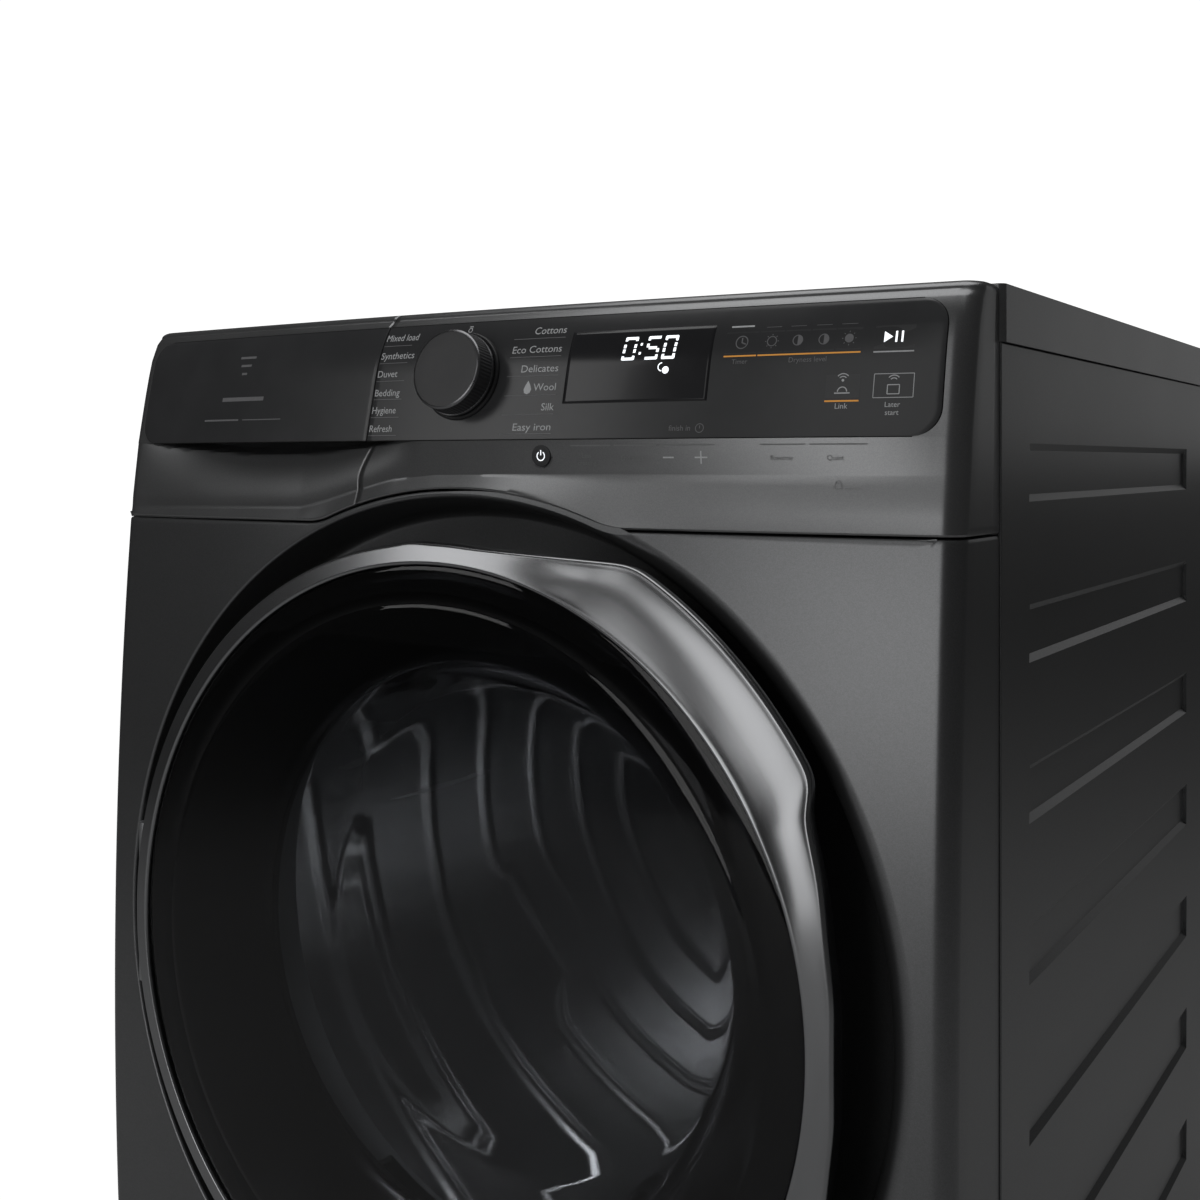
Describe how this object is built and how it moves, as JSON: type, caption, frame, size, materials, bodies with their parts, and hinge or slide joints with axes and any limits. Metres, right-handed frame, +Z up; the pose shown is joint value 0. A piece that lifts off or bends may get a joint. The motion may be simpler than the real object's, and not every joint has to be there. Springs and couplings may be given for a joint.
{
  "type": "clothes dryer",
  "caption": "Front-loading clothes dryer with a bowed graphite front, chrome-ringed round glass door, tilted control fascia with dial, display and water drawer.",
  "frame": {"origin": "middle of the footprint on the floor, under the levelling feet", "axes": "+Z up, the front and its door face -Y, +X to the viewer's right"},
  "size_m": [0.6, 0.662, 0.85],
  "materials": {
    "body_paint": "satin graphite",
    "fascia_plastic": "satin graphite",
    "inlay_plastic": "semi-gloss black",
    "display_glass": "gloss black",
    "board": "green laminate",
    "knob_plastic": "fine matt",
    "black_plastic": "moulded",
    "grey_plastic": "moulded",
    "tank_plastic": "moulded",
    "door_chrome": "satin chrome",
    "door_tint": "tinted",
    "bowl_glass": "clear",
    "zinc_steel": "galvanised",
    "drum_steel": "stainless",
    "fin_aluminium": "mill",
    "motor_metal": "dull",
    "compressor_paint": "satin black",
    "copper_line": "dull copper",
    "belt_rubber": "matt",
    "seal_rubber": "matt",
    "felt_wool": "felt",
    "lamp_lens": "frosted",
    "worktop_laminate": "graphite laminate"
  },
  "bodies": {
    "cabinet": {"base_pan": "black_plastic", "levelling_feet": "black_plastic", "side_panel_left": "body_paint", "side_panel_right": "body_paint", "rear_panel": "zinc_steel", "rear_duct_cover": "grey_plastic", "worktop_board": "worktop_laminate", "worktop_trim": "fascia_plastic", "cross_bars": "zinc_steel", "front_panel": "body_paint", "front_bulkhead": "grey_plastic", "fascia_housing": "fascia_plastic", "control_inlay": "inlay_plastic", "display_window": "display_glass", "control_board": "board", "dial_socket": "black_plastic", "drawer_housing": "grey_plastic", "hinge_bracket": "zinc_steel", "latch_catch": "black_plastic", "door_gasket": "seal_rubber", "lint_filter": "grey_plastic", "filter_housing": "grey_plastic", "moisture_sensor": "drum_steel", "drum_lamp": "lamp_lens", "drum_bearing": "zinc_steel", "drum_felts": "felt_wool", "roller_axles": "zinc_steel", "drive_belt": "belt_rubber", "motor": "motor_metal", "blower_housing": "grey_plastic", "idler_arm": "zinc_steel", "exchanger_housing": "black_plastic", "exchanger_cover": "grey_plastic", "evaporator": "fin_aluminium", "condenser": "fin_aluminium", "compressor": "compressor_paint", "service_lines": "copper_line", "condensate_pump": "grey_plastic"},
    "door": {"door_ring": "door_chrome", "door_glass": "door_tint", "door_shell": "black_plastic", "door_bowl": "bowl_glass", "bowl_clamp": "black_plastic", "latch_hook": "grey_plastic", "hinge_leaf": "zinc_steel"},
    "drum": {"drum_shell": "drum_steel", "drum_lifters": "grey_plastic", "drum_rear_wall": "drum_steel", "drum_shaft": "zinc_steel"},
    "drawer": {"drawer_front": "fascia_plastic", "drawer_inlay": "inlay_plastic", "water_tank": "tank_plastic", "tank_lid": "grey_plastic"},
    "dial": {"dial_knob": "knob_plastic"},
    "power_key": {"power_button": "fascia_plastic"},
    "left_roller": {"drum_roller_left": "black_plastic"},
    "right_roller": {"drum_roller_right": "black_plastic"},
    "rotor": {"motor_rotor": "zinc_steel"},
    "idler": {"idler_pulley": "black_plastic"},
    "flap": {"lower_flap": "body_paint"}
  },
  "joints": [
    {"name": "door_hinge", "type": "hinge", "parent": "cabinet", "child": "door", "pos_m": [-0.25, -0.311, 0.468], "axis": [0, 0, -1], "range_deg": [0, 135]},
    {"name": "drum_spin", "type": "hinge", "parent": "cabinet", "child": "drum", "pos_m": [0, 0, 0.468], "axis": [0, 1, 0], "continuous": true},
    {"name": "water_drawer", "type": "slide", "parent": "cabinet", "child": "drawer", "axis": [0, -1, 0], "range_m": [0, 0.33]},
    {"name": "programme_dial", "type": "hinge", "parent": "cabinet", "child": "dial", "pos_m": [0, -0.29366, 0.808], "axis": [0, -0.9744, 0.225], "continuous": true},
    {"name": "power_press", "type": "slide", "parent": "cabinet", "child": "power_key", "axis": [0, 1, 0], "range_m": [0, 0.0015], "stiffness_N_per_m": 400, "springref_m": -0.001},
    {"name": "left_roller_spin", "type": "hinge", "parent": "cabinet", "child": "left_roller", "pos_m": [-0.18027, -0.192, 0.21054], "axis": [0, 1, 0], "continuous": true},
    {"name": "right_roller_spin", "type": "hinge", "parent": "cabinet", "child": "right_roller", "pos_m": [0.18027, -0.192, 0.21054], "axis": [0, 1, 0], "continuous": true},
    {"name": "motor_spin", "type": "hinge", "parent": "cabinet", "child": "rotor", "pos_m": [0.175, 0.06, 0.12], "axis": [0, 1, 0], "continuous": true},
    {"name": "idler_spin", "type": "hinge", "parent": "cabinet", "child": "idler", "pos_m": [0.09004, -0.008, 0.12106], "axis": [0, 1, 0], "continuous": true},
    {"name": "lower_flap_hinge", "type": "hinge", "parent": "cabinet", "child": "flap", "pos_m": [-0.13, -0.281, 0.034], "axis": [1, 0, 0], "range_deg": [0, 85]}
  ],
  "couplings": [
    {"joint": "left_roller_spin", "follows": "drum_spin", "ratio": -9.4667},
    {"joint": "right_roller_spin", "follows": "drum_spin", "ratio": -9.4667},
    {"joint": "motor_spin", "follows": "drum_spin", "ratio": 28.4},
    {"joint": "idler_spin", "follows": "drum_spin", "ratio": -20.286}
  ]
}
